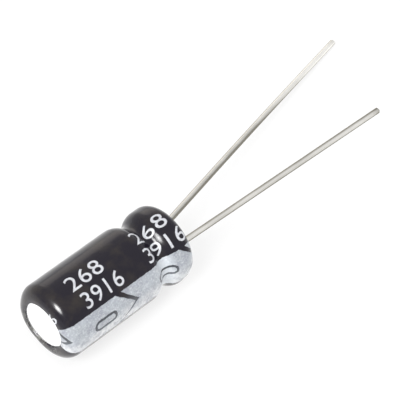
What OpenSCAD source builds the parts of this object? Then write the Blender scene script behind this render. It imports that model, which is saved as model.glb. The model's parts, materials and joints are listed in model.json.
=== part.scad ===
// Radial aluminium electrolytic capacitor, lying on its side as it rests on a table.
// Every piece is drawn standing on the circuit board: z = 0 is the seat plane, the head is
// up, the leads point down, the negative lead is on +x and the positive one on -x.
// The module laid() then puts all of it on the floor, on the barrel and the positive tip.

/* [Can] */
// Outside diameter of the bare can
can_d = 6.3; // [5.6:0.1:8]
// Length of the can from its rim to its head
can_l = 12.85; // [11:0.05:20]
// Wall of the drawn can
can_wall = 0.25; // [0.2:0.01:0.3]
// Outer radius of the corner round the head
head_corner_r = 0.9; // [0.6:0.05:1.2]
// Outer radius of the curled rim
rim_r = 0.66; // [0.5:0.02:0.8]
// Angle that the rim is curled through, from the wall inwards
rim_curl = 125; // [110:1:140]

/* [Bead] */
// Height of the middle of the bead above the rim
bead_height = 2.75; // [2.4:0.05:3.2]
// Depth of the bead in the can
bead_depth = 0.58; // [0.4:0.02:0.8]
// Half of the width of the bead, from its middle to the straight wall
bead_half_w = 1.45; // [1.2:0.05:1.6]
// Radius of the root of the bead
bead_root_r = 0.75; // [0.5:0.05:0.9]

/* [Sleeve] */
// Thickness of the shrunk sleeve
sleeve_t = 0.1; // [0.06:0.01:0.2]
// How far the sleeve turns in over the head, from the side of the barrel
head_lip = 1.25; // [1.1:0.05:1.6]
// How far the sleeve turns in at the seat, from the side of the barrel
seat_lip = 0.95; // [0.85:0.01:1.05]

/* [Polarity stripe] */
// Thickness of the printed ink
ink_t = 0.02; // [0.01:0.005:0.03]
// Angle that the stripe takes of the way round
stripe_angle = 51; // [30:1:70]
// Distance from one chevron to the next, and from one oval to the next
mark_spacing = 6.62; // [5:0.02:8]
// Height of the tip of the middle chevron above the seat
chevron_z = 6.14; // [5:0.01:7]
// Width of the gap that draws a chevron, at its tip and along the can
chevron_w = 0.4; // [0.3:0.02:0.5]
// How far the heavy arm climbs for each millimetre sideways
heavy_slope = 0.98; // [0.6:0.02:1.4]
// How much wider the heavy arm is for each millimetre sideways
heavy_growth = 0.12; // [0:0.01:0.3]
// How far the fine arm climbs for each millimetre sideways
fine_slope = 1.42; // [0.8:0.02:1.8]
// How much narrower the fine arm is for each millimetre sideways
fine_taper = 0.24; // [0.18:0.01:0.3]
// Least width of the fine arm
fine_w = 0.08; // [0.05:0.01:0.12]
// Height of the middle of an oval above the tip of the chevron under it
oval_above = 3.4; // [2.5:0.05:4]
// Length of an oval
oval_l = 2.36; // [1.5:0.02:2.6]
// Width of an oval
oval_w = 1; // [0.7:0.05:1.2]
// Width of the gap that draws an oval
oval_line = 0.22; // [0.1:0.01:0.3]

/* [Rubber bung] */
// How far the bung stands up past the bead that squeezes it
bung_above = 0.1; // [0:0.05:0.4]
// Depth of the face of the bung inside the rim
bung_recess = 0.3; // [0.26:0.01:0.4]

/* [Leads] */
// Distance between the two leads
lead_spacing = 2.5; // [2.2:0.1:2.6]
// Diameter of a lead
lead_d = 0.5; // [0.4:0.05:0.6]
// Length of the positive lead below the seat
positive_l = 29; // [20:0.5:32]
// Length of the negative lead below the seat
negative_l = 22; // [15:0.5:28]
// Straight length of each lead before its bend
lead_straight = 0.6; // [0.2:0.1:2]
// Radius of the bend on the middle line of a lead
lead_bend_r = 2; // [1:0.1:4]
// Angle that the positive lead is bent outwards
positive_bend = 15.8; // [14:0.1:20]
// How far that bend is turned sideways from the plane of the leads
positive_aside = 13; // [0:1:30]
// Angle that the negative lead is bent outwards
negative_bend = 1.8; // [1:0.1:5]
// How far that bend is turned sideways from the plane of the leads
negative_aside = -8; // [-30:1:30]
// Chamfer left by the cutter on the tip of a lead
tip_chamfer = 0.08; // [0.04:0.01:0.12]

/* [Tabs] */
// Diameter of the round boss of a tab, in the bung
boss_d = 0.95; // [0.8:0.05:1.1]
// How far the boss stands up above the bung
boss_above = 0.1; // [0.05:0.05:0.3]
// Height of the cone between the boss and the lead
boss_cone = 0.25; // [0.15:0.05:0.4]
// Depth of the weld between lead and tab inside the face of the bung
weld_depth = 0.7; // [0.5:0.05:1]
// Height of the neck between the boss and the blade
neck_h = 0.35; // [0.2:0.05:0.6]
// Thickness of the neck, which is pressed half flat
neck_t = 0.44; // [0.3:0.02:0.5]
// Thickness of the flattened blade of a tab
blade_t = 0.2; // [0.15:0.01:0.25]
// Width of the blade, along its curve
blade_w = 1.1; // [0.9:0.05:1.3]

/* [Wound element] */
// Radius of the hole that the winding pin leaves
mandrel_r = 0.65; // [0.6:0.01:0.7]
// Thickness of the etched anode foil
anode_t = 0.09; // [0.08:0.01:0.1]
// Thickness of the cathode foil
cathode_t = 0.03; // [0.02:0.01:0.04]
// Thickness of each separator paper
paper_t = 0.04; // [0.03:0.01:0.05]
// How far the papers stand past each edge of the foils
paper_margin = 0.3; // [0.2:0.05:0.5]
// Thickness of the tape that closes the roll
tape_t = 0.04; // [0.03:0.01:0.06]
// Angle that the tape takes of the way round
tape_angle = 300; // [200:5:340]

/* [Clearances] */
// Clearance between the bung and what it is pressed on
press_gap = 0.01; // [0.005:0.005:0.02]
// Angle of free room in the bung past the end of the curled rim
curl_room = 2; // [1:1:5]
// Clearance between one layer of the roll and the next
ply_gap = 0.01; // [0.005:0.005:0.02]
// Clearance between the roll and the wall of the can
roll_gap = 0.08; // [0.05:0.01:0.2]
// Clearance between the bung and the papers of the roll
paper_gap = 0.6; // [0.5:0.05:0.7]
// Clearance between the papers and the head of the can
head_gap = 0.3; // [0.1:0.05:0.6]

/* [Hidden] */
$fn = 96;

can_r = can_d / 2;
lead_r = lead_d / 2;
boss_r = boss_d / 2;
rim_z = sleeve_t;
head_z = rim_z + can_l;
top_z = head_z + sleeve_t;
body_r = can_r + sleeve_t;
head_opening_r = body_r - head_lip;
seat_opening_r = body_r - seat_lip;
rim_centre = [can_r - rim_r, rim_z + rim_r];
head_centre = [can_r - head_corner_r, head_z - head_corner_r];
shoulder_r = head_corner_r + sleeve_t;
// Each edge of the folded chevron is drawn in steps, to a fifth past the edge of the stripe
fold_steps = 8;
fold_past = 1.2;
fold_angle = stripe_angle / 2 * fold_past / fold_steps;
fold_w = fold_angle * PI / 180 * body_r;
// Length of a cutter that reaches past everything it cuts
past = can_d;

// The bead is two shoulders that meet one root, all of them tangent
bead_z = rim_z + bead_height;
bead_shoulder_r = (bead_half_w ^ 2 + bead_depth ^ 2) / (2 * bead_depth) - bead_root_r;
bead_root = [can_r - bead_depth + bead_root_r, bead_z];
bead_shoulder_x = can_r - bead_shoulder_r;

bung_z = rim_z + bung_recess;
bung_top = bead_z + bead_half_w + bung_above;
weld_z = bung_z + weld_depth;
boss_top = bung_top + boss_above;

// The roll: four layers wound together about two centres, half a turn at a time.
// Each layer makes room for a blade over half a turn before it, and the next layer follows.
paper_z = bung_top + paper_gap;
paper_h = head_z - can_wall - head_gap - paper_z;
foil_h = paper_h - 2 * paper_margin;
ply_t = [paper_t, anode_t, paper_t, cathode_t];
ply_in = [0, paper_t + ply_gap, paper_t + anode_t + 2 * ply_gap,
          2 * paper_t + anode_t + 3 * ply_gap];
wind = 2 * paper_t + anode_t + cathode_t + 4 * ply_gap;
blade_room = blade_t + ply_gap;
positive_turn = 1;
negative_turn = 2;
positive_shift = [positive_turn + 1, positive_turn + 1, positive_turn - 1, positive_turn - 1];
negative_shift = negative_turn + 1;
roll_r = can_r - can_wall - roll_gap - tape_t - ply_gap;
turns_end = floor((roll_r - mandrel_r - wind * 1.25 - 2 * blade_room) / (wind / 2));

function side(k) = k % 2 == 0 ? 1 : -1;
function shifted(k) = k < 0 ? 0 : k == 0 ? 1 : 2;
// Inner radius of layer p on half turn k
function ply_r(p, k) = mandrel_r + ply_in[p] + k * wind / 2
    + blade_room / 2 * (shifted(k - positive_shift[p]) + shifted(k - negative_shift));
// Centre of layer p on half turn k, along y
function ply_y(p, k) = side(k) * (wind / 4 + (k == positive_shift[p] ? blade_room / 2 : 0)
    + (k == negative_shift ? blade_room / 2 : 0));

// Each blade lies on the outside of its own foil
positive_blade_r = ply_r(1, positive_turn) + anode_t + ply_gap + blade_t / 2;
positive_blade_y = ply_y(1, positive_turn);
negative_blade_r = ply_r(3, negative_turn) + cathode_t + ply_gap + blade_t / 2;
negative_blade_y = ply_y(3, negative_turn);

// Tips of the leads: how far out and how far down the bent wire ends
function run(l, bend) = l - lead_straight - lead_bend_r * bend * PI / 180;
function reach(l, bend) = lead_bend_r * (1 - cos(bend)) + run(l, bend) * sin(bend);
function drop(l, bend) = lead_straight + lead_bend_r * sin(bend) + run(l, bend) * cos(bend);
function tip(x, l, bend, way) = [x + reach(l, bend) * cos(way), reach(l, bend) * sin(way)];
positive_way = 180 + positive_aside;
negative_way = negative_aside;
positive_tip = tip(-lead_spacing / 2, positive_l, positive_bend, positive_way);
negative_tip = tip(lead_spacing / 2, negative_l, negative_bend, negative_way);

// At rest the barrel rolls until the tip of the positive lead touches the floor,
// or hangs straight below the axis where the lead is too short to reach it
rest_angle = acos(max(-1, (lead_r - body_r) / norm(positive_tip)));
laid_turn = rest_angle - atan2(positive_tip.y, positive_tip.x);
// Sideways place of a point once the part is turned to its rest
function laid_y(p) = p.x * sin(laid_turn) + p.y * cos(laid_turn);
box_x = [-top_z - ink_t, max(drop(positive_l, positive_bend), drop(negative_l, negative_bend))
    + (lead_r - tip_chamfer) * sin(positive_bend)];
box_y = [min(-body_r - ink_t, laid_y(positive_tip) - lead_r, laid_y(negative_tip) - lead_r),
         max(body_r, laid_y(positive_tip) + lead_r, laid_y(negative_tip) + lead_r)];

// Puts a standing piece on the floor, with the middle of the part's box over the origin
module laid() {
    translate([-(box_x[0] + box_x[1]) / 2, -(box_y[0] + box_y[1]) / 2, body_r])
        rotate([0, -90, 0]) rotate([0, 0, laid_turn]) children();
}

// What the beading wheel takes off the outline of the can, at depth t under its surface
module bead_cut(t) {
    translate(bead_root) circle(r = bead_root_r + t);
    difference() {
        polygon([[bead_shoulder_x, bead_z - bead_half_w], [can_r + past, bead_z - bead_half_w],
                 [can_r + past, bead_z + bead_half_w], [bead_shoulder_x, bead_z + bead_half_w],
                 bead_root]);
        for (s = [-1, 1]) translate([bead_shoulder_x, bead_z + s * bead_half_w])
            circle(r = bead_shoulder_r - t);
    }
}

// Half section of the can as if it were full, at depth t under its outer surface
module outline(t) {
    difference() {
        union() {
            translate([0, rim_z + t]) square([rim_centre.x, rim_r - t]);
            translate([0, rim_centre.y]) square([can_r - t, head_centre.y - rim_centre.y]);
            translate([0, head_centre.y]) square([head_centre.x, head_corner_r - t]);
            translate(rim_centre) circle(r = rim_r - t);
            translate(head_centre) circle(r = head_corner_r - t);
        }
        bead_cut(t);
    }
}

// The part of the rim that turns in past the bottom of the can, between two radii
module curl(r_in, r_out, angle) {
    translate(rim_centre) intersection() {
        difference() {
            circle(r = r_out);
            circle(r = r_in);
        }
        polygon([[0, 0], [0, -past], [-past * tan(angle - 90), -past]]);
    }
}

module can() {
    color("silver") laid() rotate_extrude() {
        difference() {
            outline(0);
            outline(can_wall);
            square([rim_centre.x, rim_centre.y]);
        }
        curl(rim_r - can_wall, rim_r, rim_curl);
    }
}

module sleeve() {
    color([0.16, 0.14, 0.15]) laid() rotate_extrude() difference() {
        outline(-sleeve_t);
        outline(0);
        translate([0, head_centre.y]) square([head_opening_r, past]);
        translate([0, -past]) square([seat_opening_r, past + rim_centre.y]);
    }
}

// A slot with round ends, along the can
module slot(l, w) {
    square([w, l - w], center = true);
    for (s = [-1, 1]) translate([0, s * (l - w) / 2]) circle(d = w);
}

// How far along the can the two edges of a chevron's gap lie past its tip, at y across the
// stripe. The heavy arm is on the side of +y.
function chevron_start(y) = max(heavy_slope * y, -fine_slope * y);
function chevron_end(y) = chevron_start(y)
    + max(fine_w, chevron_w + y * (y > 0 ? heavy_growth : fine_taper));

// The gaps in the ink, drawn flat: across the stripe and along the can
module chevron_gap() {
    fine_y = (fine_w - chevron_w) / fine_taper;
    polygon(concat([for (y = [-can_r, 0, can_r]) [y, chevron_start(y)]],
                   [for (y = [can_r, 0, fine_y, -can_r]) [y, chevron_end(y)]]));
}
module oval_gap() {
    difference() {
        slot(oval_l, oval_w);
        slot(oval_l - 2 * oval_line, oval_w - 2 * oval_line);
    }
}

// Radius of the sleeve where the way along it, up the barrel and round the head, is u
function round_head(u) = let (s = (u - head_centre.y) / shoulder_r)
    s < 0 ? body_r
    : s < PI / 2 ? head_centre.x + shoulder_r * cos(s * 180 / PI)
    : head_centre.x + shoulder_r * (PI / 2 - s);
function head_point(u, a) = round_head(u) * [cos(a), sin(a)];

// The gap of the chevron that folds over the head, seen from above the head
module folded_chevron_gap(tip_u) {
    polygon(concat(
        [for (k = [-fold_steps:fold_steps])
            head_point(tip_u + chevron_start(k * fold_w), k * fold_angle)],
        [for (k = [-fold_steps:fold_steps])
            head_point(tip_u + chevron_end(-k * fold_w), -k * fold_angle)]));
}

module polarity_stripe() {
    first = -ceil(chevron_z / mark_spacing);
    last = floor((head_centre.y - chevron_z) / mark_spacing);
    color([0.78, 0.81, 0.83]) laid() difference() {
        rotate([0, 0, -stripe_angle / 2]) rotate_extrude(angle = stripe_angle) difference() {
            outline(-sleeve_t - ink_t);
            outline(-sleeve_t);
            translate([0, head_centre.y]) square([head_opening_r, past]);
            translate([0, -past]) square([seat_opening_r, past + rim_centre.y]);
        }
        for (k = [first:last]) translate([0, 0, chevron_z + k * mark_spacing])
            rotate([90, 0, 90]) linear_extrude(past) {
                chevron_gap();
                translate([0, oval_above]) oval_gap();
            }
        translate([0, 0, head_centre.y]) linear_extrude(past)
            folded_chevron_gap(chevron_z + (last + 1) * mark_spacing);
    }
}

// Hole for a lead and its tab, from the face of the bung up
module lead_hole() {
    boss_z = weld_z + boss_cone;
    translate([0, 0, -past]) cylinder(h = past + weld_z, r = lead_r + press_gap, $fn = 48);
    translate([0, 0, weld_z])
        cylinder(h = boss_cone, r1 = lead_r + press_gap, r2 = boss_r + press_gap, $fn = 48);
    translate([0, 0, boss_z]) cylinder(h = past, r = boss_r + press_gap, $fn = 48);
}

module rubber_bung() {
    fit = can_wall + press_gap;
    color([0.13, 0.13, 0.14]) laid() difference() {
        rotate_extrude() difference() {
            intersection() {
                outline(fit);
                translate([0, bung_z]) square([can_r, bung_top - bung_z]);
            }
            curl(rim_r - fit, rim_r + press_gap, rim_curl + curl_room);
        }
        for (s = [-1, 1]) translate([s * lead_spacing / 2, 0, 0]) lead_hole();
    }
}

// A wire that comes down from its weld, bends towards +x and ends in a cut tip
module bent_wire(l, bend) {
    straight_run = run(l, bend) - tip_chamfer;
    translate([0, 0, -lead_straight]) cylinder(h = lead_straight + weld_z, r = lead_r, $fn = 48);
    translate([lead_bend_r, 0, -lead_straight]) rotate([90, 0, 0]) rotate([0, 0, 180])
        rotate_extrude(angle = bend) translate([lead_bend_r, 0]) circle(r = lead_r, $fn = 48);
    translate([lead_bend_r * (1 - cos(bend)), 0, -lead_straight - lead_bend_r * sin(bend)])
        rotate([0, 180 - bend, 0]) {
            cylinder(h = straight_run, r = lead_r, $fn = 48);
            translate([0, 0, straight_run])
                cylinder(h = tip_chamfer, r1 = lead_r, r2 = lead_r - tip_chamfer, $fn = 48);
        }
}

module positive_lead() {
    color([0.76, 0.75, 0.71]) laid() translate([-lead_spacing / 2, 0, 0])
        rotate([0, 0, positive_way]) bent_wire(positive_l, positive_bend);
}

module negative_lead() {
    color([0.76, 0.75, 0.71]) laid() translate([lead_spacing / 2, 0, 0])
        rotate([0, 0, negative_way]) bent_wire(negative_l, negative_bend);
}

// A curved strip on the +x side, about a centre on y
module strip(r, y, t, angle, z, h) {
    translate([0, y, z]) rotate([0, 0, -angle / 2]) rotate_extrude(angle = angle)
        translate([r - t / 2, 0]) square([t, h]);
}

// A tab on the +x side: a round boss, a neck pressed flat and a blade in the roll
module tab(blade_r, blade_y) {
    blade_angle = blade_w / blade_r * 180 / PI;
    blade_top = paper_z + paper_h - paper_margin;
    translate([lead_spacing / 2, 0, weld_z])
        cylinder(h = boss_cone, r1 = lead_r, r2 = boss_r, $fn = 48);
    translate([lead_spacing / 2, 0, weld_z + boss_cone])
        cylinder(h = boss_top - weld_z - boss_cone, r = boss_r, $fn = 48);
    intersection() {
        translate([lead_spacing / 2, 0, boss_top]) cylinder(h = neck_h, r = boss_r, $fn = 48);
        strip(blade_r, blade_y, neck_t, 180, boss_top, neck_h);
    }
    strip(blade_r, blade_y, blade_t, blade_angle, boss_top, blade_top - boss_top);
}

module positive_tab() {
    color([0.83, 0.84, 0.85]) laid() rotate([0, 0, 180]) tab(positive_blade_r, -positive_blade_y);
}

module negative_tab() {
    color([0.83, 0.84, 0.85]) laid() tab(negative_blade_r, negative_blade_y);
}

// One layer of the roll: half rings about two centres, each one tangent to the next
module ply(p, z, h) {
    laid() translate([0, 0, z]) linear_extrude(h) for (k = [0:turns_end])
        translate([0, ply_y(p, k)]) intersection() {
            difference() {
                circle(r = ply_r(p, k) + ply_t[p]);
                circle(r = ply_r(p, k));
            }
            translate([side(k) * past / 2, 0]) square([past, 2 * past], center = true);
        }
}

module inner_paper() {
    color([0.86, 0.78, 0.62]) ply(0, paper_z, paper_h);
}

module anode_foil() {
    color([0.62, 0.63, 0.64]) ply(1, paper_z + paper_margin, foil_h);
}

module outer_paper() {
    color([0.86, 0.78, 0.62]) ply(2, paper_z, paper_h);
}

module cathode_foil() {
    color([0.8, 0.81, 0.82]) ply(3, paper_z + paper_margin, foil_h);
}

module closing_tape() {
    roll_out = ply_r(3, turns_end) + cathode_t + wind / 4;
    color([0.8, 0.66, 0.4]) laid()
        strip(roll_out + ply_gap + tape_t / 2, 0, tape_t, tape_angle, paper_z + paper_margin, foil_h);
}

can();
sleeve();
polarity_stripe();
rubber_bung();
positive_lead();
negative_lead();
positive_tab();
negative_tab();
inner_paper();
anode_foil();
outer_paper();
cathode_foil();
closing_tape();
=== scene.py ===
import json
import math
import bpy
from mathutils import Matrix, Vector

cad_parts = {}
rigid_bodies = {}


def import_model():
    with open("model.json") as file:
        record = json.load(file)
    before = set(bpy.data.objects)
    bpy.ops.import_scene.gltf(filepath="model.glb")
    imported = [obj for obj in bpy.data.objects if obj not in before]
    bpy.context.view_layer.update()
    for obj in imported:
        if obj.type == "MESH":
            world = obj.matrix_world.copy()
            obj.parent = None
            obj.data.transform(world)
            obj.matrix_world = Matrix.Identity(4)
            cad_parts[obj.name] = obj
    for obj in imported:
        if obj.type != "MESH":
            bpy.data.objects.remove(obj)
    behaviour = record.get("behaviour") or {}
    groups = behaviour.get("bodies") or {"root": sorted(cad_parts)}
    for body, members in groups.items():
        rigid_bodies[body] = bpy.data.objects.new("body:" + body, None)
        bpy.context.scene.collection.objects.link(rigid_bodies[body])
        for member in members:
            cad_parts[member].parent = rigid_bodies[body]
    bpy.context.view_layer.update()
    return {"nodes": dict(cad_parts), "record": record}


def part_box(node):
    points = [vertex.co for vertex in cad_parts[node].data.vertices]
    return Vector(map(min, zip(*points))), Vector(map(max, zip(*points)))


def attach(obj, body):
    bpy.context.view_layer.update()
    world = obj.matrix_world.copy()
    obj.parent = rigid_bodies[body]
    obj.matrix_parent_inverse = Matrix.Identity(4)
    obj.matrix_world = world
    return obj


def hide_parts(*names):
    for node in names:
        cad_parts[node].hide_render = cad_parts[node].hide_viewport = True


bl_info = {
    "name": "Electrolytic Capacitor",
    "version": (1, 0, 0),
    "blender": (4, 5, 0),
    "location": "View3D > Sidebar > Capacitor",
    "description": "Gives a packed electrolytic capacitor its sleeve, print, metal and leads",
    "category": "Object",
}

import bpy
from bpy.props import FloatProperty, FloatVectorProperty, PointerProperty, StringProperty
from mathutils import Matrix, Vector

# A new file of Blender's own may hold a cube, a lamp and a camera
for left_over in list(bpy.data.objects):
    bpy.data.objects.remove(left_over)

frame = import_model()
MM = 0.001

# Where the can lies: its seat, its axis and how far the stripe is rolled above level
SLEEVE_LOW, SLEEVE_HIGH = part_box("sleeve")
STRIPE_LOW, STRIPE_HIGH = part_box("polarity_stripe")
BODY_R = SLEEVE_HIGH.z / 2
BODY_L = SLEEVE_HIGH.x - SLEEVE_LOW.x
SEAT = Vector((SLEEVE_HIGH.x, (SLEEVE_LOW.y + SLEEVE_HIGH.y) / 2, BODY_R))
INK_R = SEAT.y - STRIPE_LOW.y
STRIPE_ROLL = (math.asin((STRIPE_HIGH.z - BODY_R) / INK_R)
               + math.asin((STRIPE_LOW.z - BODY_R) / INK_R)) / 2

# Pieces are modelled in millimetres, standing on the seat with the head up and the stripe on +X.
# This turns such a piece to its rest on the floor, in metres.
LAID = (Matrix.Translation(SEAT) @ Matrix.Rotation(math.radians(-90), 4, "Y")
        @ Matrix.Rotation(math.radians(270) + STRIPE_ROLL, 4, "Z") @ Matrix.Scale(MM, 4))

# Points nearer than this are one, in the millimetres of modelling
MERGE = 0.0005

# Sockets of a Mix node for colours: by name they can't be told from those for numbers
MIX_FACTOR, MIX_FIRST, MIX_SECOND, MIX_RESULT = 0, 6, 7, 2

# Nearly all of a noise lies in this range
NOISE_RANGE = 0.3, 0.7

# From what the camera looks at to each soft light, and the side of the floor, in metres
LIGHT_DISTANCE = 0.35
FLOOR_SIZE = 4


# Settings that a user would change

LENGTH = {"unit": "LENGTH", "precision": 5}
COLOUR = {"subtype": "COLOR", "size": 3}


class CAPACITOR_PG_sleeve(bpy.types.PropertyGroup):
    wall: FloatProperty(
        name="Wall", description="Thickness of the shrunk sleeve", default=0.1 * MM, **LENGTH)
    head_corner: FloatProperty(
        name="Head corner", description="Radius of the sleeve round the head",
        default=1.0 * MM, **LENGTH)
    head_lip: FloatProperty(
        name="Head lip", description="How far the sleeve turns in over the head",
        default=1.25 * MM, **LENGTH)
    seat_lip: FloatProperty(
        name="Seat lip", description="How far the sleeve turns in at the seat",
        default=0.95 * MM, **LENGTH)
    rim: FloatProperty(
        name="Rim", description="Radius of the sleeve round the curled rim",
        default=0.92 * MM, **LENGTH)
    bead_height: FloatProperty(
        name="Bead height", description="Middle of the bead above the seat",
        default=2.93 * MM, **LENGTH)
    bead_depth: FloatProperty(
        name="Bead depth", description="Depth of the bead in the barrel",
        default=0.62 * MM, **LENGTH)
    bead_half: FloatProperty(
        name="Bead half width", description="From the middle of the bead to the wall",
        default=1.45 * MM, **LENGTH)
    bead_root: FloatProperty(
        name="Bead root", description="Radius of the sleeve in the root of the bead",
        default=0.65 * MM, **LENGTH)
    lip_wave: FloatProperty(
        name="Lip wave", description="How far the shrunk edge of a lip wanders",
        default=0.05 * MM, **LENGTH)
    lip_shift: FloatProperty(
        name="Lip shift", description="How far the opening over the head is off centre",
        default=0.1 * MM, **LENGTH)
    swell: FloatProperty(
        name="Swell", description="How far the sleeve swells over the bead and rim in front",
        default=0.16 * MM, **LENGTH)
    pucker: FloatProperty(
        name="Pucker", description="How far the sleeve puckers behind the head",
        default=0.22 * MM, **LENGTH)
    colour: FloatVectorProperty(
        name="Colour", description="Colour of the plastic",
        default=(0.0085, 0.0068, 0.0125), **COLOUR)
    pale: FloatVectorProperty(
        name="Pale colour", description="Where the plastic is stretched",
        default=(0.022, 0.018, 0.017), **COLOUR)


class CAPACITOR_PG_stripe(bpy.types.PropertyGroup):
    half_angle: FloatProperty(
        name="Half angle", description="From the middle of the stripe to its edge",
        default=math.radians(25.5), subtype="ANGLE")
    spacing: FloatProperty(
        name="Spacing", description="From one chevron to the next", default=6.62 * MM, **LENGTH)
    tip: FloatProperty(
        name="Tip", description="Height of the middle chevron's tip above the seat",
        default=6.14 * MM, **LENGTH)
    gap: FloatProperty(
        name="Gap", description="Width of a chevron's gap at its tip, along the can",
        default=0.4 * MM, **LENGTH)
    heavy_slope: FloatProperty(
        name="Heavy slope", description="Climb of the heavy arm", default=0.98)
    heavy_growth: FloatProperty(
        name="Heavy growth", description="Gain in the heavy arm's width", default=0.12)
    fine_slope: FloatProperty(name="Fine slope", description="Climb of the fine arm", default=1.42)
    fine_taper: FloatProperty(
        name="Fine taper", description="Loss in the fine arm's width", default=0.24)
    fine_gap: FloatProperty(
        name="Fine gap", description="Least width of the fine arm's gap",
        default=0.13 * MM, **LENGTH)
    oval_place: FloatProperty(
        name="Oval place", description="Middle of an oval above the chevron's tip",
        default=3.4 * MM, **LENGTH)
    oval_length: FloatProperty(
        name="Oval length", description="Length of an oval", default=2.3 * MM, **LENGTH)
    oval_width: FloatProperty(
        name="Oval width", description="Width of an oval", default=0.96 * MM, **LENGTH)
    oval_line: FloatProperty(
        name="Oval line", description="Width of the gap that draws an oval",
        default=0.23 * MM, **LENGTH)
    head_gap: FloatProperty(
        name="Head gap", description="Least width of the gap of the chevron by the head",
        default=0.48 * MM, **LENGTH)
    stretch: FloatProperty(
        name="Stretch", description="How much further apart marks lie over the bead", default=1.06)
    drawn_down: FloatProperty(
        name="Drawn down", description="How far the sleeve drew the stripe's edge down at the bead",
        default=0.6 * MM, **LENGTH)
    wobble: FloatProperty(
        name="Wobble", description="How far the ink's edges wander",
        default=0.014 * MM, unit="LENGTH", precision=6)
    silver: FloatVectorProperty(
        name="Colour", description="Colour of the stripe", default=(0.323, 0.345, 0.375), **COLOUR)
    # Painted reflection: a paler colour on the lower side of the stripe, standing for the bright
    # floor mirrored there
    silver_painted_reflection: FloatVectorProperty(
        name="Thick colour", description="Colour where the ink is thick",
        default=(0.65, 0.655, 0.665), **COLOUR)
    silver_dark: FloatVectorProperty(
        name="Blotches", description="Thin ink on the stripe",
        default=(0.27, 0.285, 0.325), **COLOUR)


class CAPACITOR_PG_print(bpy.types.PropertyGroup):
    upper: StringProperty(
        name="Upper number", description="Plain number of the upper line", default="268")
    lower: StringProperty(
        name="Lower number", description="Plain number of the lower line", default="3916")
    height: FloatProperty(
        name="Height", description="Height of a numeral", default=1.3 * MM, **LENGTH)
    boldness: FloatProperty(
        name="Boldness", description="How much the strokes are thickened",
        default=0.0, min=0, max=0.1)
    ink: FloatProperty(
        name="Ink", description="Thickness of the printed ink",
        default=0.015 * MM, unit="LENGTH", precision=6)
    colour: FloatVectorProperty(
        name="Number colour", description="Colour of the numbers",
        default=(0.55, 0.56, 0.59), **COLOUR)


class CAPACITOR_PG_leads(bpy.types.PropertyGroup):
    spacing: FloatProperty(
        name="Spacing", description="Distance between the leads", default=2.5 * MM, **LENGTH)
    radius: FloatProperty(
        name="Radius", description="Radius of a lead", default=0.25 * MM, **LENGTH)
    weld: FloatProperty(
        name="Weld", description="Height of the weld above the seat", default=1.1 * MM, **LENGTH)
    straight: FloatProperty(
        name="Straight", description="Straight length before the bend", default=0.6 * MM, **LENGTH)
    bend_radius: FloatProperty(
        name="Bend radius", description="Radius of the bend on the middle line",
        default=2 * MM, **LENGTH)
    positive_length: FloatProperty(
        name="Positive length", description="Length below the seat", default=29 * MM, **LENGTH)
    negative_length: FloatProperty(
        name="Negative length", description="Length below the seat", default=22 * MM, **LENGTH)
    positive_bend: FloatProperty(
        name="Positive bend", description="Angle of the bend",
        default=math.radians(16), subtype="ANGLE")
    positive_aside: FloatProperty(
        name="Positive aside", description="Turn of the bend from the leads' plane",
        default=math.radians(12.8), subtype="ANGLE")
    negative_bend: FloatProperty(
        name="Negative bend", description="Angle of the bend",
        default=math.radians(2.05), subtype="ANGLE")
    negative_aside: FloatProperty(
        name="Negative aside", description="Turn of the bend from the leads' plane",
        default=math.radians(-8), subtype="ANGLE")
    negative_shift: FloatProperty(
        name="Negative shift", description="How far the lead sits out of its place",
        default=0.06 * MM, **LENGTH)
    chamfer: FloatProperty(
        name="Chamfer", description="Chamfer that the cutter left on the tip",
        default=0.08 * MM, **LENGTH)
    bow: FloatProperty(
        name="Bow", description="How far the positive lead bows from a straight line",
        default=0.1 * MM, **LENGTH)
    colour: FloatVectorProperty(
        name="Tin", description="Colour of the tinned wire", default=(0.88, 0.87, 0.84), **COLOUR)
    # Painted shade: the colour that a wire's flanks are darkened to, away from its painted
    # highlight
    painted_shade: FloatVectorProperty(
        name="Dull tin", description="Colour of the tin where nothing rubbed it",
        default=(0.2, 0.19, 0.165), **COLOUR)


class CAPACITOR_PG_stage(bpy.types.PropertyGroup):
    azimuth: FloatProperty(
        name="Azimuth", description="Direction that the camera looks from",
        default=math.radians(-44.411), subtype="ANGLE")
    elevation: FloatProperty(
        name="Elevation", description="Height of the camera above level",
        default=math.radians(46.993), subtype="ANGLE")
    distance: FloatProperty(
        name="Distance", description="From the camera to what it looks at",
        default=0.18, unit="LENGTH")
    target: FloatVectorProperty(
        name="Target", description="Point that the camera looks at",
        subtype="XYZ", unit="LENGTH", default=(-2.913 * MM, -1.568 * MM, 3.25 * MM))
    lens: FloatProperty(name="Lens", description="Focal length in millimetres", default=203.95)
    key_energy: FloatProperty(
        name="Key light", description="Power of the key light", default=1.1, unit="POWER")
    back_energy: FloatProperty(
        name="Back light", description="Power of the panel behind", default=0.065, unit="POWER")
    sheen_energy: FloatProperty(
        name="Sheen", description="Power of the key light's bright middle, seen in gloss",
        default=4.0, unit="POWER")
    fill_energy: FloatProperty(
        name="Fill", description="Power of the light from the side of the leads",
        default=0.6, unit="POWER")
    soft_level: FloatProperty(
        name="Soft light", description="Level of the light from all round", default=0.62)


SETTINGS = {
    "capacitor_sleeve": CAPACITOR_PG_sleeve,
    "capacitor_stripe": CAPACITOR_PG_stripe,
    "capacitor_print": CAPACITOR_PG_print,
    "capacitor_leads": CAPACITOR_PG_leads,
    "capacitor_stage": CAPACITOR_PG_stage,
}


# Modelling

def in_mm(length):
    return length / MM


def clear_selection():
    """Leaves edit mode with nothing selected."""
    if bpy.context.object and bpy.context.object.mode != "OBJECT":
        bpy.ops.object.mode_set(mode="OBJECT")
    bpy.ops.object.select_all(action="DESELECT")


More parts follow.
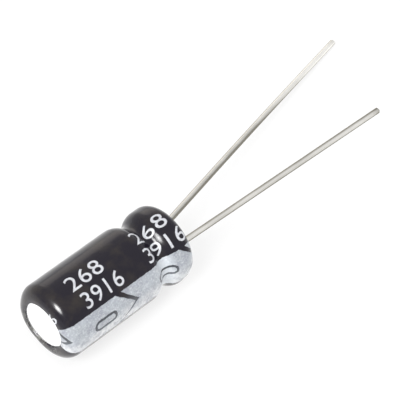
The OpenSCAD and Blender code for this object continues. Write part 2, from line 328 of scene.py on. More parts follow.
def trace(name, points):
    """Starts a piece as a chain of edges through the points, and leaves it in edit mode."""
    clear_selection()
    bpy.ops.mesh.primitive_plane_add(size=0.1, location=points[0])
    piece = bpy.context.object
    piece.name = name
    bpy.ops.object.mode_set(mode="EDIT")
    bpy.ops.mesh.merge(type="CENTER")
    for before, after in zip(points, points[1:]):
        bpy.ops.mesh.extrude_region_move(TRANSFORM_OT_translate={"value": after - before})
    return piece


def close_up():
    """Joins what meets and points every face outwards, in edit mode."""
    bpy.ops.mesh.select_all(action="SELECT")
    bpy.ops.mesh.remove_doubles(threshold=MERGE)
    bpy.ops.mesh.normals_make_consistent(inside=False)


def apply_modifier(piece, kind, **fields):
    """Adds a modifier to the active piece and applies it."""
    modifier = piece.modifiers.new(kind.title(), kind)
    for field, value in fields.items():
        setattr(modifier, field, value)
    bpy.ops.object.modifier_apply(modifier=modifier.name)


def apply_place():
    """Puts the place, turn and size of what is selected into its mesh."""
    bpy.ops.object.transform_apply(location=True, rotation=True, scale=True)


def lay_down(piece, place=Matrix.Identity(4)):
    """Puts a piece that was modelled standing on the floor, with its place in its mesh."""
    clear_selection()
    piece.select_set(True)
    bpy.context.view_layer.objects.active = piece
    piece.matrix_world = LAID @ place @ piece.matrix_world
    apply_place()


def finish_piece(piece, material, slot, *nodes):
    """Gives a piece its material, its body and the nodes that it stands for."""
    piece.data.materials.clear()
    piece.data.materials.append(material)
    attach(piece, "root")
    if nodes:
        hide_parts(*nodes)


def finish_node(name, material):
    """Gives a solid of the frame its material."""
    for slot in frame["nodes"][name].material_slots:
        slot.material = material


# The outline of the sleeve

def arc(centre_r, centre_z, radius, start, end, steps):
    """Points of an arc in the half section, at angles from straight out towards the head."""
    angles = [start + (end - start) * k / steps for k in range(steps + 1)]
    return [Vector((centre_r + radius * math.cos(a), 0, centre_z + radius * math.sin(a)))
            for a in angles]


def straight(start, end, steps):
    """Points between the two ends of a straight line."""
    return [start.lerp(end, k / steps) for k in range(1, steps)]


def sleeve_outline(depth, fineness=1):
    """Half section of the sleeve at a depth under its surface, from head lip to seat lip.

    Each arc and line ends with the number of its steps.
    """
    s = bpy.context.scene.capacitor_sleeve
    radius, length = in_mm(BODY_R), in_mm(BODY_L)
    corner, rim = in_mm(s.head_corner), in_mm(s.rim)
    depth_of_bead, half, root = in_mm(s.bead_depth), in_mm(s.bead_half), in_mm(s.bead_root)
    bead = in_mm(s.bead_height)
    shoulder = (half ** 2 + depth_of_bead ** 2) / (2 * depth_of_bead) - root
    meeting = math.asin(half / (shoulder + root))
    quarter = math.pi / 2
    corner_arc = arc(radius - corner, length - corner, corner - depth, quarter, 0, 14 * fineness)
    upper = arc(radius - shoulder, bead + half, shoulder - depth, 0, -meeting, 9 * fineness)
    groove = arc(radius - depth_of_bead + root, bead, root + depth,
                 math.pi - meeting, math.pi + meeting, 12 * fineness)
    lower = arc(radius - shoulder, bead - half, shoulder - depth, meeting, 0, 9 * fineness)
    rim_arc = arc(radius - rim, rim, rim - depth, 0, -quarter, 12 * fineness)
    head_edge = Vector((radius - in_mm(s.head_lip), 0, length - depth))
    seat_edge = Vector((radius - in_mm(s.seat_lip), 0, depth))
    return ([head_edge] + straight(head_edge, corner_arc[0], 4) + corner_arc
            + straight(corner_arc[-1], upper[0], 24) + upper + groove[1:-1] + lower
            + straight(lower[-1], rim_arc[0], 3) + rim_arc
            + straight(rim_arc[-1], seat_edge, 3) + [seat_edge])


class Skin:
    """The outer surface of the sleeve, by the way along it and round it."""

    def __init__(self):
        self.points = sleeve_outline(0, fineness=3)
        self.ways = [0.0]
        for before, after in zip(self.points, self.points[1:]):
            self.ways.append(self.ways[-1] + (after - before).length)
        # The way along is measured so that it equals the height on the barrel
        on_barrel = in_mm(BODY_R) - 0.001
        top = max(range(len(self.points)),
                  key=lambda k: (self.points[k].x > on_barrel, self.points[k].z))
        self.start = self.points[top].z + self.ways[top]

    def at(self, along, angle, lift):
        """The point at a way along the skin and an angle from the middle of the stripe."""
        way = self.start - along
        k = 0
        while k < len(self.ways) - 2 and self.ways[k + 1] < way:
            k += 1
        before, after = self.points[k], self.points[k + 1]
        edge = (after - before).normalized()
        point = before + edge * (way - self.ways[k])
        out = Vector((-edge.z, 0, edge.x))
        return Matrix.Rotation(angle, 3, "Z") @ (point + out * lift)


def wander(angle, seed):
    """A slow wander round a lip, from -1 to 1."""
    waves = ((2, 0.45, 0.3), (3, 0.3, 2.1), (5, 0.17, 4.4), (9, 0.08, 1.2))
    return sum(share * math.sin(count * angle + phase * seed) for count, share, phase in waves)


def lobe(value, centre, reach):
    """1 at the centre, and falling smoothly to 0 at its reach on both sides."""
    share = max(0.0, 1 - abs(value - centre) / reach)
    return share * share * (3 - 2 * share)


def angle_lobe(angle, centre, reach):
    """A lobe round the can, with its centre and reach in degrees."""
    return lobe((math.degrees(angle) - centre + 180) % 360 - 180, 0, reach)


def settle(piece):
    """Moves the even skin to where the heat left it: swollen, puckered, with lips that wander."""
    s = bpy.context.scene.capacitor_sleeve
    length = in_mm(BODY_L)
    # Middle and reach of each: a height in millimetres, and an angle from the stripe in degrees
    swell_height, swell_side = (2.1, 2.0), (-30, 62)
    pucker_height, pucker_side = (length - 0.5, 1.2), (200, 45)
    opening_side = math.radians(138)
    lip_reach, head_seed, seat_seed = 0.5, 1.0, 1.7
    for vertex in piece.data.vertices:
        height = vertex.co.z
        radius = math.hypot(vertex.co.x, vertex.co.y)
        angle = math.atan2(vertex.co.y, vertex.co.x)
        moved = (radius
                 + in_mm(s.swell) * lobe(height, *swell_height) * angle_lobe(angle, *swell_side)
                 + in_mm(s.pucker) * lobe(height, *pucker_height) * angle_lobe(angle, *pucker_side))
        at_head = height > length / 2
        edge = in_mm(BODY_R - (s.head_lip if at_head else s.seat_lip))
        near_lip = max(0.0, 1 - (radius - edge) / lip_reach)
        if near_lip > 0 and (height > length - lip_reach or height < lip_reach):
            seed = head_seed if at_head else seat_seed
            moved += near_lip * in_mm(s.lip_wave) * wander(angle, seed)
            if at_head:
                moved += near_lip * in_mm(s.lip_shift) * math.cos(angle - opening_side)
        vertex.co.x *= moved / radius
        vertex.co.y *= moved / radius


# Materials

def new_material(name, **sockets):
    """A material with one principled shader, and its constant sockets."""
    material = bpy.data.materials.new(name)
    material.use_nodes = True
    shader = material.node_tree.nodes["Principled BSDF"]
    for socket, value in sockets.items():
        shader.inputs[socket.replace("_", " ").title().replace("Ior", "IOR")].default_value = value
    return material, material.node_tree, shader


def add_node(tree, kind, inputs=None, **fields):
    """Adds a shader node, and fills its inputs with values or with other nodes' outputs."""
    made = tree.nodes.new("ShaderNode" + kind)
    for field, value in fields.items():
        setattr(made, field, value)
    for socket, value in (inputs or {}).items():
        if isinstance(value, bpy.types.NodeSocket):
            tree.links.new(value, made.inputs[socket])
        else:
            made.inputs[socket].default_value = value
    return made


def own_place(tree, turn=(0, 0, 0), scale=(1, 1, 1), shift=(0, 0, 0)):
    """Places on the piece, in metres, moved, turned and stretched for a pattern."""
    place = add_node(tree, "TexCoord").outputs["Object"]
    return add_node(tree, "Mapping", {"Vector": place, "Location": shift, "Rotation": turn,
                                      "Scale": scale}).outputs["Vector"]


def noise(tree, place, size, detail, roughness=0.55):
    """Soft noise whose patches are about one size across, in metres."""
    return add_node(tree, "TexNoise", {"Vector": place, "Scale": 1 / size, "Detail": detail,
                                       "Roughness": roughness}).outputs["Fac"]


def spread(tree, factor, low, high, to_low=0.0, to_high=1.0):
    """Spreads a factor between two values over a new range."""
    return add_node(tree, "MapRange", {"Value": factor, "From Min": low, "From Max": high,
                                       "To Min": to_low, "To Max": to_high}).outputs["Result"]


def reckon(tree, operation, *values):
    """Adds, multiplies or otherwise reckons with one or two values."""
    return add_node(tree, "Math", dict(enumerate(values)), operation=operation).outputs[0]


def blend(tree, factor, first, second):
    """Mixes two colours by a factor."""
    mixed = add_node(tree, "Mix", {MIX_FACTOR: factor}, data_type="RGBA")
    for socket, value in ((MIX_FIRST, first), (MIX_SECOND, second)):
        if isinstance(value, bpy.types.NodeSocket):
            tree.links.new(value, mixed.inputs[socket])
        else:
            mixed.inputs[socket].default_value = (*value, 1)
    return mixed.outputs[MIX_RESULT]


def bumped(tree, shader, *bumps):
    """Adds bumps under the shader, each with its height, distance and strength."""
    normal = None
    for height, distance, strength in bumps:
        bump = add_node(tree, "Bump", {"Height": height, "Distance": distance,
                                       "Strength": strength})
        if normal:
            tree.links.new(normal, bump.inputs["Normal"])
        normal = bump.outputs["Normal"]
    link(tree, normal, shader, "Normal")


def link(tree, output, shader, socket):
    """Feeds a node's output to a socket of the shader."""
    tree.links.new(output, shader.inputs[socket])


def paint(tree, shader, colour, factor, low, high):
    """Feeds the shader a colour, and a roughness that runs with a factor."""
    link(tree, colour, shader, "Base Color")
    link(tree, spread(tree, factor, *NOISE_RANGE, low, high), shader, "Roughness")


def towards(tree, way):
    """Millimetres from the can's axis in a direction of the standing piece."""
    direction = LAID.to_3x3() @ Vector(way) / MM ** 2
    place = own_place(tree, shift=-SEAT)
    along = add_node(tree, "VectorMath", {0: place, 1: direction}, operation="DOT_PRODUCT")
    return along.outputs["Value"]


def thin_ink(tree):
    """Where the stripe's gaps hold a film of thin ink: more towards the edge with the fine arms."""
    edge = math.tan(bpy.context.scene.capacitor_stripe.half_angle)
    film = spread(tree, towards(tree, (0, 1, 0)), 0.9, -0.3)
    inside = spread(tree, towards(tree, (edge, 1, 0)), 0, 0.1)
    return reckon(tree, "MULTIPLY", film, inside)


def in_bead(tree):
    """Most in the root of the bead, and 0 on its shoulders."""
    middle = in_mm(bpy.context.scene.capacitor_sleeve.bead_height)
    above = reckon(tree, "SUBTRACT", towards(tree, (0, 0, 1)), middle)
    return spread(tree, reckon(tree, "ABSOLUTE", above), 1.0, 0.3, 0, 0.8)


def lip_painted_highlights(tree, place):
    """Pale specks painted on one side of the lip over the head, away from the numbers: painted
    highlights.
    """
    on_lip = spread(tree, towards(tree, (0, 0, 1)), in_mm(BODY_L) - 0.3, in_mm(BODY_L) - 0.05)
    side = spread(tree, towards(tree, (-0.6, -0.8, 0)), 0.2, 1.6)
    specks = spread(tree, noise(tree, place, 0.42 * MM, 3, 0.65), 0.48, 0.68)
    return reckon(tree, "MULTIPLY", reckon(tree, "MULTIPLY", on_lip, side), specks)


def shrunk_plastic(settings):
    """Glossy shrunk sleeve: near black, with stretched pale patches, an uneven gloss and painted
    highlights on the lip.
    """
    material, tree, shader = new_material("shrunk_plastic", specular_ior_level=0.26, ior=1.5)
    place = own_place(tree)
    patches = noise(tree, place, 1.6 * MM, 4)
    fine = noise(tree, place, 0.22 * MM, 2)
    pale = spread(tree, patches, 0.48, 0.72)
    patched = blend(tree, pale, settings.colour, settings.pale)
    # Painted highlights: pale specks on one side of the lip over the head
    lip_highlit = blend(tree, lip_painted_highlights(tree, place), patched, (0.13, 0.13, 0.115))
    inked = blend(tree, thin_ink(tree), lip_highlit, (0.11, 0.12, 0.135))
    paint(tree, shader, inked, patches, 0.10, 0.24)
    bumped(tree, shader, (patches, 0.04 * MM, 0.5), (fine, 0.004 * MM, 0.4))
    return material


def silver_ink(settings):
    """Silver-grey print: mottled, with thin dark spots where the ink missed, a painted reflection
    along its lower side and painted light in the root of the bead.
    """
    material, tree, shader = new_material("silver_ink", metallic=0.1, specular_ior_level=0.5)
    place = own_place(tree)
    tones = noise(tree, own_place(tree, shift=(0.02, 0, 0)), 1.9 * MM, 2)
    clouds = noise(tree, place, 0.75 * MM, 5, 0.68)
    blots = noise(tree, own_place(tree, shift=(0, 0, 0.03)), 0.34 * MM, 3, 0.6)
    grain = noise(tree, place, 0.13 * MM, 3)
    # Painted reflection: the stripe is paler towards its lower side, where it mirrors the bright
    # floor
    below = spread(tree, towards(tree, (0, 1, 0)), 0.15, -0.85)
    painted_reflection = blend(tree, below, settings.silver, settings.silver_painted_reflection)
    cool = blend(tree, spread(tree, tones, 0.42, 0.6, 0, 0.5), painted_reflection, (0.42, 0.455, 0.49))
    body = blend(tree, spread(tree, clouds, 0.36, 0.56), settings.silver_dark, cool)
    # Painted light: the stripe is lightened in the root of the bead, against the shade that falls
    # there
    painted_bead_light = blend(tree, in_bead(tree), body, (0.58, 0.615, 0.65))
    blotted = blend(tree, spread(tree, blots, 0.4, 0.28, 0, 0.6), painted_bead_light, (0.24, 0.25, 0.31))
    speckled = blend(tree, spread(tree, grain, 0.5, 0.72, 0.0, 0.5), blotted, (0.74, 0.76, 0.77))
    paint(tree, shader, speckled, clouds, 0.45, 0.26)
    bumped(tree, shader, (clouds, 0.03 * MM, 0.5), (grain, 0.008 * MM, 0.6))
    return material


def white_ink(settings):
    """White print of the numbers, a little uneven in its cover."""
    material, tree, shader = new_material("white_ink", specular_ior_level=0.4)
    cover = noise(tree, own_place(tree), 0.16 * MM, 4, 0.6)
    worn = blend(tree, spread(tree, cover, 0.34, 0.56), (0.4, 0.405, 0.44), settings.colour)
    paint(tree, shader, worn, cover, 0.5, 0.38)
    bumped(tree, shader, (cover, 0.004 * MM, 0.6))
    return material


def drawn_aluminium():
    """Bright can metal, with rings round its axis from the tool, and a fine grain."""
    material, tree, shader = new_material("drawn_aluminium", metallic=1.0)
    place = own_place(tree, shift=(0, -SEAT.y, -SEAT.z))
    across = add_node(tree, "VectorMath", {0: place, 1: (0, 1, 1)}, operation="MULTIPLY")
    radius = add_node(tree, "VectorMath", {0: across.outputs["Vector"]},
                      operation="LENGTH").outputs["Value"]
    rings = add_node(tree, "TexNoise", {"W": radius, "Scale": 1 / (0.07 * MM), "Detail": 4.0},
                     noise_dimensions="1D").outputs["Fac"]
    grain = noise(tree, place, 0.15 * MM, 4)
    metal = blend(tree, grain, (0.90, 0.905, 0.91), (0.96, 0.962, 0.965))
    paint(tree, shader, metal, grain, 0.22, 0.36)
    bumped(tree, shader, (rings, 0.003 * MM, 0.35), (grain, 0.003 * MM, 0.3))
    return material


def tinned_wire(name, direction, settings):
    """Tinned wire with painted light: a painted highlight along the side towards the camera and the
    key light, painted shade on its flanks, and the die's streaks.
    """
    material, tree, shader = new_material(name, metallic=1.0)
    shader.inputs["Specular Tint"].default_value = (0.5, 0.49, 0.45, 1)
    # X runs along the wire
    turn = direction.to_track_quat("X", "Z").inverted().to_euler()
    streaks = noise(tree, own_place(tree, turn=turn, scale=(0.02, 1, 1)), 0.06 * MM, 3, 0.6)
    stains = noise(tree, own_place(tree, turn=turn, scale=(0.3, 1, 1)), 0.8 * MM, 4, 0.6)
    # Painted light: the stored painted highlight, with random stains, blends the painted shade of
    # the flanks into the bright tin
    painted_highlight = add_node(tree, "Attribute", attribute_name="painted_highlight").outputs["Fac"]
    uneven = reckon(tree, "ADD", painted_highlight, spread(tree, stains, *NOISE_RANGE, -0.08, 0.08))
    worn = blend(tree, spread(tree, streaks, 0.35, 0.7, 0, 0.4), settings.colour,
                 (0.66, 0.64, 0.58))
    highlighted = blend(tree, spread(tree, uneven, 0, 1), settings.painted_shade, worn)
    paint(tree, shader, highlighted, stains, 0.2, 0.34)
    bumped(tree, shader, (streaks, 0.004 * MM, 0.6))
    return material


def moulded_rubber():
    """Matt black rubber with a dusting of talc and fine pores."""
    material, tree, shader = new_material("moulded_rubber", specular_ior_level=0.35)
    place = own_place(tree)
    dust = noise(tree, place, 0.5 * MM, 5, 0.7)
    pores = noise(tree, place, 0.08 * MM, 2)
    dusted = blend(tree, spread(tree, dust, 0.45, 0.8), (0.014, 0.014, 0.015), (0.05, 0.05, 0.052))
    paint(tree, shader, dusted, dust, 0.55, 0.75)
    bumped(tree, shader, (dust, 0.02 * MM, 0.4), (pores, 0.01 * MM, 0.5))
    return material


def pressed_tab():
    """Aluminium of a tab, marked by the press."""
    material, tree, shader = new_material("pressed_tab", metallic=1.0)
    marks = noise(tree, own_place(tree, scale=(0.15, 1, 1)), 0.1 * MM, 4)
    metal = blend(tree, marks, (0.74, 0.75, 0.76), (0.88, 0.885, 0.89))
    paint(tree, shader, metal, marks, 0.3, 0.5)
    bumped(tree, shader, (marks, 0.006 * MM, 0.5))
    return material


def wet_paper():
    """Kraft separator paper, darker where the electrolyte soaked it."""
    material, tree, shader = new_material("wet_paper", specular_ior_level=0.4)
    fibres = noise(tree, own_place(tree, scale=(0.2, 1, 1)), 0.12 * MM, 5, 0.7)
    soaked = noise(tree, own_place(tree), 1.2 * MM, 3)
    dry = blend(tree, fibres, (0.58, 0.46, 0.29), (0.78, 0.68, 0.50))
    stained = blend(tree, spread(tree, soaked, 0.45, 0.65, 0, 0.5), dry, (0.48, 0.36, 0.2))
    link(tree, stained, shader, "Base Color")
    link(tree, spread(tree, soaked, 0.4, 0.6, 0.8, 0.45), shader, "Roughness")
    bumped(tree, shader, (fibres, 0.01 * MM, 0.6))
    return material


def foil(name, dark, pale, rough, size):
    """Rolled foil with pits of a size, between a dark and a pale grey."""
    material, tree, shader = new_material(name, metallic=1.0)
    pits = noise(tree, own_place(tree), size, 4, 0.7)
    rolled = noise(tree, own_place(tree, scale=(1, 0.1, 0.1)), 0.1 * MM, 3)
    paint(tree, shader, blend(tree, pits, dark, pale), rolled, rough, rough + 0.15)
    bumped(tree, shader, (pits, 0.003 * MM, 0.5))
    return material


def amber_tape():
    """Thin amber tape that closes the roll."""
    material, tree, shader = new_material("amber_tape", specular_ior_level=0.5, coat_weight=0.3)
    creases = noise(tree, own_place(tree, scale=(0.4, 1, 1)), 0.5 * MM, 4)
    amber = blend(tree, creases, (0.50, 0.30, 0.10), (0.72, 0.52, 0.25))
    paint(tree, shader, amber, creases, 0.2, 0.4)
    bumped(tree, shader, (creases, 0.01 * MM, 0.4))
    return material


# Pieces

class CAPACITOR_OT_sleeve(bpy.types.Operator):
    """Turns the shrunk sleeve from its half section, with lips that wander"""
    bl_idname = "object.capacitor_sleeve"
    bl_label = "Add Sleeve"

    def execute(self, context):
        settings = context.scene.capacitor_sleeve
        outer = sleeve_outline(0)
        inner = sleeve_outline(in_mm(settings.wall))
        # Each lip ends in a small blunt edge between the two surfaces
        blunt = Vector((in_mm(settings.wall) * 0.35, 0, 0))
        seat_end = (outer[-1] + inner[-1]) / 2 - blunt
        head_end = (outer[0] + inner[0]) / 2 - blunt
        sleeve = trace("shrunk_sleeve", outer + [seat_end] + inner[::-1] + [head_end, outer[0]])
        bpy.ops.mesh.select_all(action="SELECT")
        bpy.ops.mesh.spin(steps=160, angle=2 * math.pi, center=(0, 0, 0), axis=(0, 0, 1))
        close_up()
        bpy.ops.object.mode_set(mode="OBJECT")
        apply_place()
        settle(sleeve)
        bpy.ops.object.shade_smooth_by_angle(angle=math.radians(50))
        lay_down(sleeve)
        finish_piece(sleeve, shrunk_plastic(settings), "sleeve_plastic", "sleeve")
        return {"FINISHED"}


def flat_print(name, loops):
    """Fills flat loops of points: a loop inside another is its hole, and one inside that is ink."""
    parts = []
    for loop in loops:
        parts.append(trace(name, loop + [loop[0]]))
        bpy.ops.mesh.select_all(action="SELECT")
        bpy.ops.mesh.remove_doubles(threshold=MERGE)
        bpy.ops.object.mode_set(mode="OBJECT")
        apply_place()
    for part in parts:
        part.select_set(True)
    bpy.ops.object.join()
    bpy.ops.object.convert(target="CURVE")
    bpy.context.object.data.dimensions = "2D"
    bpy.context.object.data.fill_mode = "BOTH"
    bpy.ops.object.convert(target="MESH")
    bpy.context.object.name = name
    return bpy.context.object


def trim(skin):
    """Cuts off what the active print has past the two lips of the sleeve."""
    margin = 0.03
    bpy.ops.object.mode_set(mode="EDIT")
    for along, way in ((skin.start - margin, -1), (skin.start - skin.ways[-1] + margin, 1)):
        bpy.ops.mesh.select_all(action="SELECT")
        bpy.ops.mesh.bisect(plane_co=(-along, 0, 0), plane_no=(way, 0, 0), clear_outer=True)
    bpy.ops.object.mode_set(mode="OBJECT")


def cut_to_squares(piece):
    """Cuts a flat print into small squares, so that it can bend."""
    square = 0.12
    bpy.ops.object.mode_set(mode="EDIT")
    for axis, way in ((0, Vector((1, 0, 0))), (1, Vector((0, 1, 0)))):
        places = [vertex.co[axis] for vertex in piece.data.vertices]
        for k in range(math.floor(min(places) / square) + 1, math.ceil(max(places) / square)):
            bpy.ops.mesh.select_all(action="SELECT")
            bpy.ops.mesh.bisect(plane_co=way * k * square, plane_no=way)
    bpy.ops.object.mode_set(mode="OBJECT")


def lay_on_skin(piece, skin, angle, ink):
    """Bends a flat print round the sleeve. Its X runs towards the seat, and is 0 there."""
    sunk = -0.004
    for vertex in piece.data.vertices:
        turn = math.radians(angle) + vertex.co.y / in_mm(BODY_R)
        vertex.co = skin.at(-vertex.co.x, turn, sunk)
    apply_modifier(piece, "SOLIDIFY", thickness=ink - sunk, offset=1.0)
    settle(piece)
    bpy.ops.object.shade_smooth_by_angle(angle=math.radians(40))
    lay_down(piece)


def stripe_loops():
    """Loops that bound the blocks of ink between the chevrons, with the ovals in them."""
    s = bpy.context.scene.capacitor_stripe
    edge = in_mm(BODY_R) * s.half_angle
    fine_y = -(in_mm(s.gap) - in_mm(s.fine_gap)) / s.fine_taper

    def start(y):
        """How far above its tip a chevron's gap starts, away from the middle of the stripe."""
        return max(s.heavy_slope * y, -s.fine_slope * y)

    def end(y, least):
        """How far above the tip the gap ends, with its least width."""
        growth = s.heavy_growth if y > 0 else s.fine_taper
        return start(y) + max(in_mm(least), in_mm(s.gap) + growth * y)

    def slot(middle, length, width):
        """The outline of an oval with straight sides."""
        straight_half, radius = (length - width) / 2, width / 2
        turns = [math.pi * k / 14 for k in range(15)]
        return [Vector((-middle - side * straight_half - side * radius * math.sin(a),
                        side * radius * math.cos(a), 0)) for side in (1, -1) for a in turns]

    def place(steps):
        """How high a mark lies that is some spacings above the middle chevron."""
        return in_mm(s.tip) + steps * in_mm(s.spacing) * (s.stretch if steps < 0 else 1)

    loops = []
    for k in (-2, -1, 0, 1):
        tip, following = place(k), place(k + 1)
        least = s.head_gap if k == 1 else s.fine_gap
        loops.append([Vector((-tip - end(y, least), y, 0)) for y in (-edge, fine_y, 0, edge)]
                     + [Vector((-following - start(y), y, 0)) for y in (edge, 0, -edge)])
        if k in (-1, 0):
            middle = place(k + s.oval_place / s.spacing)
            length, width, line = in_mm(s.oval_length), in_mm(s.oval_width), 2 * in_mm(s.oval_line)
            loops += [slot(middle, length, width), slot(middle, length - line, width - line)]
    return loops


class CAPACITOR_OT_stripe(bpy.types.Operator):
    """Prints the silver stripe, with its chevrons and ovals left open"""
    bl_idname = "object.capacitor_stripe"
    bl_label = "Add Stripe"

    def execute(self, context):
        s = context.scene.capacitor_stripe
        skin = Skin()
        stripe = flat_print("silver_stripe", stripe_loops())
        trim(skin)
        cut_to_squares(stripe)
        wobble = in_mm(s.wobble)
        # Where the bead drew the ink down: a height and its reach, and how far off the middle
        drawn_height, drawn_reach, drawn_from = 2.7, 2.0, 0.5
        for vertex in stripe.data.vertices:
            x, y = vertex.co.x, vertex.co.y
            near_bead = lobe(-x, drawn_height, drawn_reach)
            drawn = in_mm(s.drawn_down) * near_bead * max(0, -y - drawn_from)
            # Two waves of unlike length and way wander along each axis
            along = math.sin(9 * x + 5 * y) + math.sin(21 * x - 13 * y + 1)
            vertex.co.x += wobble * along
            across = math.sin(8 * x - 4 * y + 2) + math.sin(19 * x + 11 * y + 3)
            vertex.co.y += wobble * across - drawn
        lay_on_skin(stripe, skin, 0, in_mm(context.scene.capacitor_print.ink))
        finish_piece(stripe, silver_ink(s), "stripe_ink", "polarity_stripe")
        return {"FINISHED"}


def number_shape(name, text, start, end, settings):
    """A line of numerals as a flat mesh between two ways along the sleeve, in millimetres."""
    clear_selection()
    bpy.ops.object.text_add(location=(0, 0, 0))
    piece = bpy.context.object
    piece.name = name
    piece.data.body = text
    piece.data.offset = settings.boldness
    piece.data.space_character = 1.06
    piece.data.resolution_u = 6
    bpy.ops.object.convert(target="MESH")
    piece = bpy.context.object
    xs = [v.co.x for v in piece.data.vertices]
    ys = [v.co.y for v in piece.data.vertices]
    high = in_mm(settings.height) / (max(ys) - min(ys))
    fit = Vector(((start - end) / (max(xs) - min(xs)), high, 1))
    piece.location = (-start - min(xs) * fit.x, -(min(ys) + max(ys)) / 2 * fit.y, 0)
    piece.scale = fit
    apply_place()
    return piece


class CAPACITOR_OT_numbers(bpy.types.Operator):
    """Prints the plain numbers on the sleeve: on the barrel, over the bead and by the head"""
    bl_idname = "object.capacitor_numbers"
    bl_label = "Add Numbers"

    def execute(self, context):
        settings = context.scene.capacitor_print
        skin = Skin()
        ink = white_ink(settings)
        # Name, number, ways along where the line starts and ends in millimetres, and the angle
        # of its middle from the stripe in degrees. A way is the height on the barrel, and runs on
        # over the head and under the seat, where the lips cut the line.
        lines = (
            ("upper_number", settings.upper, 10.85, 7.55, 73.4),
            ("lower_number", settings.lower, 10.65, 6.8, 43.3),
            ("upper_number_by_bead", settings.upper, 4.15, 0.48, 75.0),
            ("lower_number_by_bead", settings.lower, 4.2, -0.15, 43.5),
            ("lower_number_by_head", settings.lower, 17.65, 13.3, 50.0),
        )
        for name, text, start, end, angle in lines:
            piece = number_shape(name, text, start, end, settings)
            trim(skin)
            cut_to_squares(piece)
            lay_on_skin(piece, skin, angle, in_mm(settings.ink))
            finish_piece(piece, ink, "stripe_ink")
        return {"FINISHED"}


def bent_wire(name, length, bend, bow, settings):
    """A wire down from its weld, bent towards +X and a little bowed, with a cut tip."""
    clear_selection()
    weld, drop = in_mm(settings.weld), in_mm(settings.straight)
    bend_radius, radius = in_mm(settings.bend_radius), in_mm(settings.radius)
    chamfer = in_mm(settings.chamfer)
    run = in_mm(length) - drop - bend_radius * bend - chamfer
    bpy.ops.mesh.primitive_circle_add(vertices=32, radius=radius, fill_type="NGON",
                                      location=(0, 0, weld))
    piece = bpy.context.object
    piece.name = name
    bpy.ops.object.mode_set(mode="EDIT")
    bpy.ops.mesh.select_all(action="SELECT")
    bpy.ops.mesh.extrude_region_move(TRANSFORM_OT_translate={"value": (0, 0, -weld - drop)})
    bpy.ops.mesh.spin(steps=10, angle=bend, center=(bend_radius, 0, -drop), axis=(0, 1, 0))
    way = Vector((math.sin(bend), 0, -math.cos(bend)))
    aside = Vector((math.cos(bend), 0, math.sin(bend)))
    steps = 28
    bows = [bow * math.sin(math.pi * k / steps) for k in range(steps + 1)]
    for before, after in zip(bows, bows[1:]):
        move = way * (run / steps) + aside * (after - before)
        bpy.ops.mesh.extrude_region_move(TRANSFORM_OT_translate={"value": move})
    bpy.ops.mesh.extrude_region_move(TRANSFORM_OT_translate={"value": way * chamfer})
    share = 1 - chamfer / radius
    bpy.ops.transform.resize(value=(share, share, share))
    close_up()
    bpy.ops.object.mode_set(mode="OBJECT")
    bpy.ops.object.shade_smooth_by_angle(angle=math.radians(30))
    apply_place()
    return piece


def paint_wire_light(piece, start, direction, length, near, far):
    """Stores how far each point gets the painted highlight rather than the painted shade.

    Each end has the side that gets the painted highlight, and how far a point in full painted shade
    and a fully bright point face it.
    """
    painted_highlight = piece.data.attributes.new("painted_highlight", "FLOAT", "POINT")
    for vertex, stored in zip(piece.data.vertices, painted_highlight.data):
        share = min(1, max(0, (vertex.co - start).dot(direction) / length))
        side, painted_shade, bright = (a + (b - a) * share for a, b in zip(near, far))
        stored.value = (vertex.normal.dot(side.normalized()) - painted_shade) / (bright - painted_shade)


class CAPACITOR_OT_leads(bpy.types.Operator):
    """Bends the two tinned leads where the frame has them"""
    bl_idname = "object.capacitor_leads"
    bl_label = "Add Leads"

    def execute(self, context):
        s = context.scene.capacitor_leads
        half = in_mm(s.spacing) / 2
        pins = {pin["name"]: pin for pin in frame["record"]["mounts"]}
        # Sign, place, length, bend, turn of the bend, bow, and the side of the painted highlight
        # and painted shade at the near and far ends
        leads = (
            ("positive", -half, s.positive_length, s.positive_bend,
             math.pi + s.positive_aside, in_mm(s.bow),
             (Vector((-0.502, -0.162, 0.85)), 0.5, 0.95), (Vector((-0.3, -0.9, 0.3)), -1.5, 0.3)),
            ("negative", half + in_mm(s.negative_shift), s.negative_length, s.negative_bend,
             s.negative_aside, 0.0,
             (Vector((-0.477, -0.487, 0.731)), 0.55, 0.96),
             (Vector((-0.38, -0.66, 0.62)), 0.55, 1.05)),
        )
        for sign, across, length, bend, way, bow, near, far in leads:
            piece = bent_wire(sign + "_wire", length, bend, bow, s)
            lay_down(piece, Matrix.Translation((across, 0, 0)) @ Matrix.Rotation(way, 4, "Z"))
            pin = pins[sign + "_lead_pin"]
            direction = Vector(pin["axis"])
            paint_wire_light(piece, Vector(pin["pos_m"]), direction, length, near, far)
            tin = tinned_wire("tinned_" + sign, direction, s)
            finish_piece(piece, tin, "tinned_wire", sign + "_lead")
        return {"FINISHED"}


class CAPACITOR_OT_solids(bpy.types.Operator):
    """Gives the can, the bung and the wound element of the frame their materials"""
    bl_idname = "object.capacitor_solids"
    bl_label = "Finish Solids"

    def execute(self, context):
        tab, paper = pressed_tab(), wet_paper()
        # A foil has a dark and a pale grey, its least roughness and the size of its pits
        finishes = {
            "can": drawn_aluminium(),
            "rubber_bung": moulded_rubber(),
            "positive_tab": tab,
            "negative_tab": tab,
            "inner_paper": paper,
            "outer_paper": paper,
            "anode_foil": foil("etched_foil", (0.30, 0.30, 0.31), (0.46, 0.46, 0.47),
                               0.5, 0.05 * MM),
            "cathode_foil": foil("plain_foil", (0.62, 0.63, 0.64), (0.78, 0.79, 0.80),
                                 0.28, 0.2 * MM),
            "closing_tape": amber_tape(),
        }
        for name, material in finishes.items():
            finish_node(name, material)
        return {"FINISHED"}


# Stage

def shown_rays(tree):
    """1 for the rays of the camera, of gloss and of glass, which see the background."""
    path = add_node(tree, "LightPath").outputs
    gloss = reckon(tree, "MAXIMUM", path["Is Camera Ray"], path["Is Glossy Ray"])
    return reckon(tree, "MAXIMUM", gloss, path["Is Transmission Ray"])


